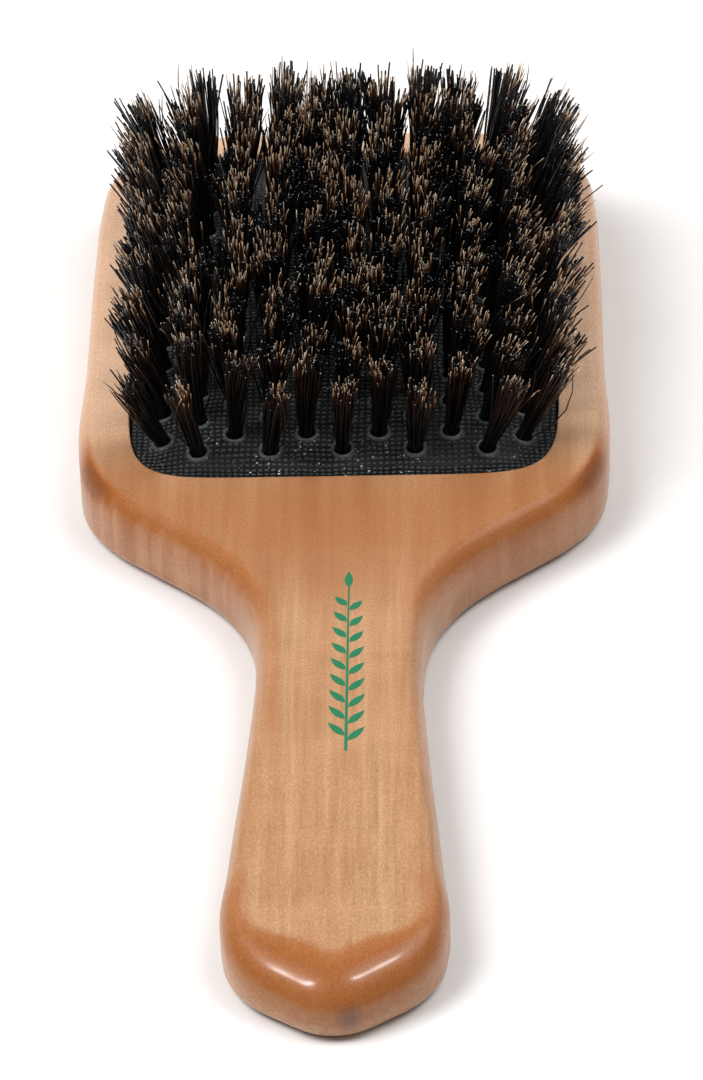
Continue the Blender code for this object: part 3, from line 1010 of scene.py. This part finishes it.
def tuft_bristles(x, y, rng):
    """Centre lines (bristle, station, 3), radii and tan shares of a tuft's bristles, and its axis."""
    count = BRISTLES_PER_TUFT
    axis = tuft_axis(x, y, rng)
    side, ahead = side_axes(axis)
    radial = np.sqrt(rng.random(count))
    angle = rng.random(count) * FULL_TURN
    tan = tan_shares(angle, rng)
    spread = np.column_stack([np.cos(angle), np.sin(angle)]) * radial[:, None]
    tips = tip_offsets(spread, y, rng)
    length = bristle_lengths(radial, tan, y, rng)
    bend = bristle_bends(tan, rng)
    centre = dome_point(x, y)
    lines = []
    for station in BRISTLE_STATIONS:
        share = max(station, 0.0)
        distance = length * share if station >= 0.0 else np.full(count, -TUFT_BURIED)
        flat = spread * TUFT_ROOT_RADIUS * (1.0 - share) + tips * share ** FLARE_POWER
        flat = flat + bend * (share * (1.0 - share) * 2.0)
        lines.append(centre + np.outer(distance, axis)
                     + np.outer(flat[:, 0], side) + np.outer(flat[:, 1], ahead))
    radius = np.where(tan > 0.5, TAN_RADIUS, BLACK_RADIUS) * rng.uniform(*RADIUS_RANGE, count)
    return np.stack(lines, axis=1), radius, tan, axis


def tube_faces(count, stations):
    """Sides of each bristle between its stations, and its cut end as a face of its own."""
    faces = []
    for bristle in range(count):
        first = bristle * (stations + 1) * BRISTLE_SIDES
        for station in range(stations - 1):
            start = first + station * BRISTLE_SIDES
            faces += ring_faces(start, start + BRISTLE_SIDES, BRISTLE_SIDES)
        start = first + stations * BRISTLE_SIDES
        faces.append(tuple(range(start, start + BRISTLE_SIDES)))
    return faces


def bristle_tubes(lines, radius, tan, axis, rng):
    """Vertices, faces and shading values of one tuft's bristles."""
    side, ahead = side_axes(axis)
    count, stations = lines.shape[:2]
    angles = np.arange(BRISTLE_SIDES) * FULL_TURN / BRISTLE_SIDES
    ring = np.outer(np.cos(angles), side) + np.outer(np.sin(angles), ahead)
    along = np.maximum(np.array(BRISTLE_STATIONS), 0.0)
    taper = 1.0 - np.outer(TIP_THINNING + TAN_TIP_THINNING * tan, along ** 2)
    thick = radius[:, None] * taper
    body = lines[:, :, None, :] + thick[:, :, None, None] * ring
    cap = body[:, -1:, :, :]
    vertices = np.concatenate([body, cap], axis=1).reshape(-1, 3)
    block = (stations + 1) * BRISTLE_SIDES
    per_ring = {"along": np.append(along, 1.0), "cut": np.append(np.zeros(stations), 1.0)}
    values = {name: np.tile(np.repeat(value, BRISTLE_SIDES), count)
              for name, value in per_ring.items()}
    values["tan"] = np.repeat(tan, block)
    values["tint"] = np.repeat(rng.random(count), block)
    # The painted glint on the cut ends is dimmer on the brown bristles
    values["cut"] *= 1.0 - TAN_CUT_DIMMING * values["tan"]
    return vertices, tube_faces(count, stations), values


def build_tuft_row(row, material):
    rng = np.random.default_rng(FIRST_ROW_SEED + row)
    vertices, faces = [], []
    values = {"along": [], "cut": [], "tan": [], "tint": []}
    total = 0
    for x, y in tuft_positions(row):
        lines, radius, tan, axis = tuft_bristles(x, y, rng)
        points, quads, shares = bristle_tubes(lines, radius, tan, axis, rng)
        vertices.append(points)
        faces += [tuple(corner + total for corner in quad) for quad in quads]
        for name, share in shares.items():
            values[name].append(share)
        total += len(points)
    name = f"bristles_{row + 1:02d}"
    bristles = mesh_object(name, np.concatenate(vertices), faces, material)
    for key, shares in values.items():
        set_attribute(bristles.data, key, np.concatenate(shares))
    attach(bristles, f"bristle_row_{row + 1:02d}")
    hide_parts(f"tuft_row_{row + 1:02d}")


# ------------------------------------------------------------------------- studio
def build_camera():
    """Camera at the viewing angle of a product shot, from the handle end."""
    cos_e, sin_e = math.cos(CAMERA_ELEVATION), math.sin(CAMERA_ELEVATION)
    turn = Matrix.Rotation(-CAMERA_YAW, 3, "Z")
    right = turn @ Vector((1.0, 0.0, 0.0))
    look = turn @ Vector((0.0, cos_e, -sin_e))
    up = turn @ Vector((0.0, sin_e, cos_e))
    place = turn @ Vector((CAMERA_AIM[0], CAMERA_AIM[1] - CAMERA_DISTANCE * cos_e,
                           CAMERA_DISTANCE * sin_e))
    cos_r, sin_r = math.cos(CAMERA_ROLL), math.sin(CAMERA_ROLL)
    rolled_right = right * cos_r - up * sin_r
    rolled_up = right * sin_r + up * cos_r
    data = bpy.data.cameras.new("camera")
    data.lens = CAMERA_LENS
    data.sensor_width = SENSOR
    data.clip_start = CAMERA_CLIP_START
    camera = link(bpy.data.objects.new("camera", data))
    axes = Matrix((rolled_right, rolled_up, -look)).transposed()
    camera.matrix_world = Matrix.Translation(place * MM) @ axes.to_4x4()
    bpy.context.scene.camera = camera


def area_light(name, place, target, width, height, watts, on_shading, on_highlights):
    """Rectangular light; it can be kept out of the soft shading or out of the highlights."""
    data = bpy.data.lights.new(name, "AREA")
    data.shape = "RECTANGLE"
    data.size = width
    data.size_y = height
    data.energy = watts
    light = link(bpy.data.objects.new(name, data))
    light.location = place
    direction = Vector(target) - Vector(place)
    light.rotation_euler = direction.to_track_quat("-Z", "Y").to_euler()
    light.visible_diffuse = on_shading
    light.visible_glossy = on_highlights


def build_world():
    """Dim surroundings with a white sweep behind the brush."""
    world = bpy.data.worlds.new("studio")
    world.use_nodes = True
    bpy.context.scene.world = world
    tree = world.node_tree
    background = tree.nodes["Background"]
    place = tree.nodes.new("ShaderNodeTexCoord")
    parts = tree.nodes.new("ShaderNodeSeparateXYZ")
    ramp = tree.nodes.new("ShaderNodeMapRange")
    ramp.interpolation_type = "SMOOTHSTEP"
    for key, value in WORLD_RAMP.items():
        ramp.inputs[key].default_value = value
    tree.links.new(place.outputs["Generated"], parts.inputs["Vector"])
    tree.links.new(parts.outputs["Y"], ramp.inputs["Value"])
    tree.links.new(ramp.outputs["Result"], background.inputs["Strength"])
    background.inputs["Color"].default_value = WORLD_COLOUR


def build_floor():
    half = FLOOR_HALF_SIZE
    corners = [(x, y, FLOOR_Z) for x, y in ((-half, -half), (half, -half), (half, half), (-half, half))]
    floor = mesh_object("studio_floor", corners, [(0, 1, 2, 3)], floor_material())


def build_studio():
    build_world()
    build_floor()
    for light in LIGHTS:
        area_light(*light)
    bpy.context.scene.view_settings.view_transform = "Standard"


def main():
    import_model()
    build_camera()
    build_studio()
    build_wooden_body(wood_material())
    build_rubber_pad(rubber_material())
    bristle = bristle_material()
    for row in range(ROW_COUNT):
        build_tuft_row(row, bristle)


main()
